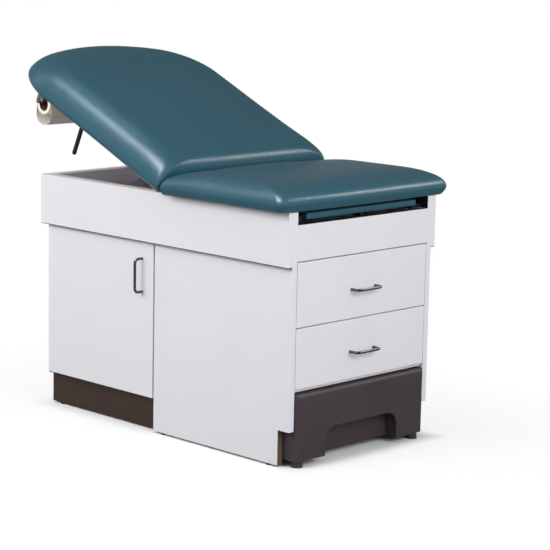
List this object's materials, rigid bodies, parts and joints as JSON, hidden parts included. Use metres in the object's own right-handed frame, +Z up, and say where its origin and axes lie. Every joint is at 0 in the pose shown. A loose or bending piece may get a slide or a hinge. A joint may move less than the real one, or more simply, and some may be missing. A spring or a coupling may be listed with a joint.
{
  "type": "examination table",
  "caption": "Medical examination table: laminate cabinet with drawers, door, pull-out step and leg rest, padded seat, tilting padded backrest and paper roll holder.",
  "frame": {"origin": "on the floor under the middle of the table, backrest raised as pictured and everything else closed", "axes": "+X towards the foot end with the drawers, +Y towards the side without a door, +Z up"},
  "size_m": [1.2083, 0.6862, 1.0668],
  "materials": {
    "white_laminate": "cool white laminate on board, satin",
    "drawer_board": "white melamine board",
    "kick_brown": "dark brown laminate, satin",
    "plywood": "bare plywood",
    "teal_vinyl": "teal blue upholstery vinyl, soft sheen",
    "dark_chrome": "dark nickel plate",
    "zinc_steel": "zinc plated steel",
    "black_plastic": "black plastic, fine grain",
    "step_plastic": "charcoal brown moulded plastic",
    "paper_white": "white crepe paper",
    "card_brown": "brown card",
    "painted_strap": "dark grey paint"
  },
  "bodies": {
    "cabinet": {"near_side_panel": "white_laminate", "far_side_panel": "white_laminate", "head_panel": "white_laminate", "partition": "white_laminate", "cabinet_floor": "white_laminate", "tray_floor": "white_laminate", "near_top_board": "white_laminate", "near_rail": "white_laminate", "far_rail": "white_laminate", "head_rail": "white_laminate", "foot_apron": "white_laminate", "step_bay_top": "white_laminate", "kick_boards": "kick_brown", "floor_glides": "black_plastic", "door_pivot_plate": "zinc_steel", "door_pivot_pins": "zinc_steel", "door_catch": "black_plastic", "cabinet_runners": "zinc_steel", "leg_rest_runners": "black_plastic", "step_glides": "black_plastic", "seat_board": "plywood", "seat_cushion": "teal_vinyl", "seat_hinge_leaves": "zinc_steel", "hinge_pins": "zinc_steel", "prop_tracks": "zinc_steel", "track_bearers": "plywood"},
    "backrest": {"backrest_board": "plywood", "backrest_cushion": "teal_vinyl", "backrest_hinge_leaves": "zinc_steel", "prop_bracket": "zinc_steel", "prop_pivot_pin": "zinc_steel", "shaft_bearings": "black_plastic", "paper_brackets": "painted_strap", "paper_spindle": "zinc_steel", "paper_loop": "paper_white"},
    "prop": {"prop_legs": "zinc_steel", "prop_cross_pin": "zinc_steel"},
    "rollers": {"prop_rollers": "black_plastic"},
    "release": {"release_lever": "black_plastic", "release_shaft": "zinc_steel"},
    "paper": {"paper_core": "card_brown", "paper_roll": "paper_white"},
    "door": {"door": "white_laminate", "door_pull": "dark_chrome", "catch_plate": "zinc_steel"},
    "upper_drawer": {"upper_drawer_front": "white_laminate", "upper_drawer_box": "drawer_board", "upper_drawer_pull": "dark_chrome", "upper_drawer_runners": "zinc_steel"},
    "lower_drawer": {"lower_drawer_front": "white_laminate", "lower_drawer_box": "drawer_board", "lower_drawer_pull": "dark_chrome", "lower_drawer_runners": "zinc_steel"},
    "leg_rest": {"leg_rest_board": "plywood", "leg_rest_pad": "teal_vinyl", "leg_rest_pull": "dark_chrome"},
    "step": {"step_body": "step_plastic", "step_feet": "step_plastic", "step_axle": "zinc_steel"},
    "wheels": {"step_wheels": "black_plastic"}
  },
  "joints": [
    {"name": "backrest_tilt", "type": "hinge", "parent": "cabinet", "child": "backrest", "pos_m": [0.10172, 0, 0.7], "axis": [0, 1, 0], "range_deg": [-24, 36]},
    {"name": "prop_fold", "type": "hinge", "parent": "backrest", "child": "prop", "pos_m": [-0.10151, 0, 0.75984], "axis": [0, 1, 0], "range_deg": [-64.5, 43]},
    {"name": "roller_spin", "type": "hinge", "parent": "prop", "child": "rollers", "pos_m": [-0.36109, 0, 0.65], "axis": [0, 1, 0], "continuous": true},
    {"name": "release_pull", "type": "hinge", "parent": "backrest", "child": "release", "pos_m": [-0.31689, 0, 0.87106], "axis": [0, 1, 0], "range_deg": [0, 18], "stiffness_Nm_per_rad": 4},
    {"name": "paper_spin", "type": "hinge", "parent": "backrest", "child": "paper", "pos_m": [-0.53477, 0, 0.898], "axis": [0, 1, 0], "continuous": true},
    {"name": "door_swing", "type": "hinge", "parent": "cabinet", "child": "door", "pos_m": [-0.43728, -0.2745, 0.324], "axis": [0, 0, -1], "range_deg": [0, 120]},
    {"name": "upper_drawer_slide", "type": "slide", "parent": "cabinet", "child": "upper_drawer", "axis": [1, 0, 0], "range_m": [0, 0.38]},
    {"name": "lower_drawer_slide", "type": "slide", "parent": "cabinet", "child": "lower_drawer", "axis": [1, 0, 0], "range_m": [0, 0.38]},
    {"name": "leg_rest_slide", "type": "slide", "parent": "cabinet", "child": "leg_rest", "axis": [1, 0, 0], "range_m": [0, 0.34]},
    {"name": "step_slide", "type": "slide", "parent": "cabinet", "child": "step", "axis": [1, 0, 0], "range_m": [0, 0.3]},
    {"name": "wheel_spin", "type": "hinge", "parent": "step", "child": "wheels", "pos_m": [0.28572, 0, 0.028], "axis": [0, 1, 0], "continuous": true}
  ],
  "couplings": [
    {"joint": "prop_fold", "follows": "backrest_tilt", "ratio": -1.774},
    {"joint": "roller_spin", "follows": "backrest_tilt", "ratio": 22.6},
    {"joint": "wheel_spin", "follows": "step_slide", "rad_per_m": 35.714}
  ]
}
